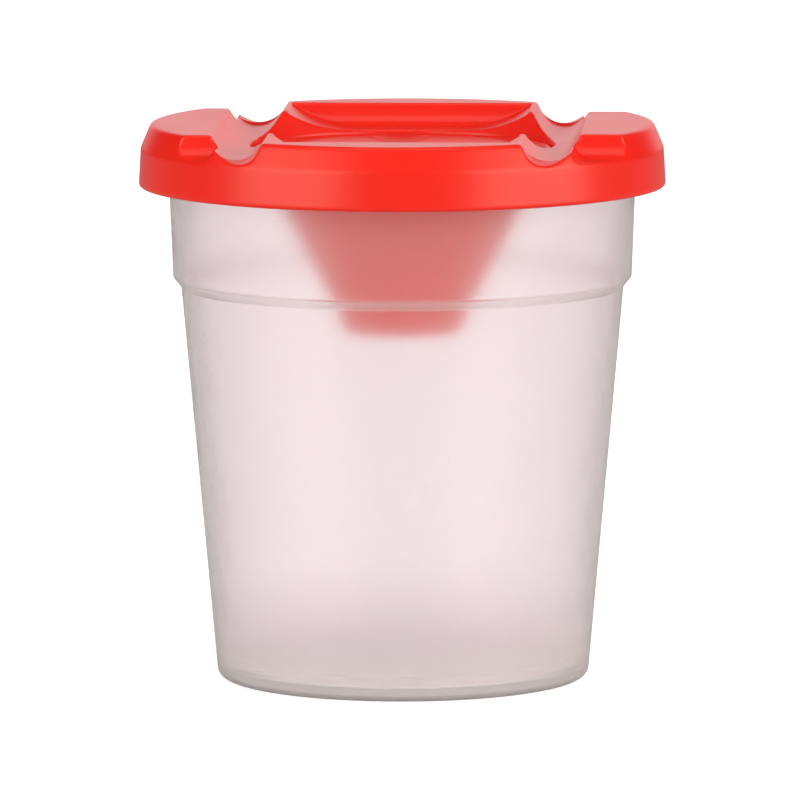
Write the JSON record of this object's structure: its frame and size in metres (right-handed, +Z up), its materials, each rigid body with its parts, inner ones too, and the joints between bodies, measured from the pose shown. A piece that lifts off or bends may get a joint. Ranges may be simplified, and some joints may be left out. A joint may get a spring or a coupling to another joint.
{
  "type": "brush washer with lid",
  "caption": "Non-spill paint water pot: a tapered translucent cup under a press-on lid with a hanging funnel, brush rests in its rim and a round stopper set in the funnel's mouth.",
  "frame": {"origin": "middle of the cup's base, on the plane it stands on", "axes": "+Z up along the cup's axis; the brush rests run along Y; the longer ear is on -X; the stopper's nail dimple is near +Y"},
  "size_m": [0.085, 0.085, 0.09],
  "materials": {
    "clear_plastic": "translucent natural polypropylene, smooth moulded gloss",
    "red_plastic": "opaque red polypropylene, satin gloss",
    "stopper_plastic": "opaque red polypropylene, satin gloss"
  },
  "bodies": {
    "cup": {"cup": "clear_plastic"},
    "lid": {"lid": "red_plastic"},
    "stopper": {"stopper": "stopper_plastic"}
  },
  "joints": [
    {"name": "lid_lift", "type": "slide", "parent": "cup", "child": "lid", "axis": [0, 0, 1], "range_m": [0, 0.04]},
    {"name": "stopper_lift", "type": "slide", "parent": "lid", "child": "stopper", "axis": [0, 0, 1], "range_m": [0, 0.02]}
  ]
}
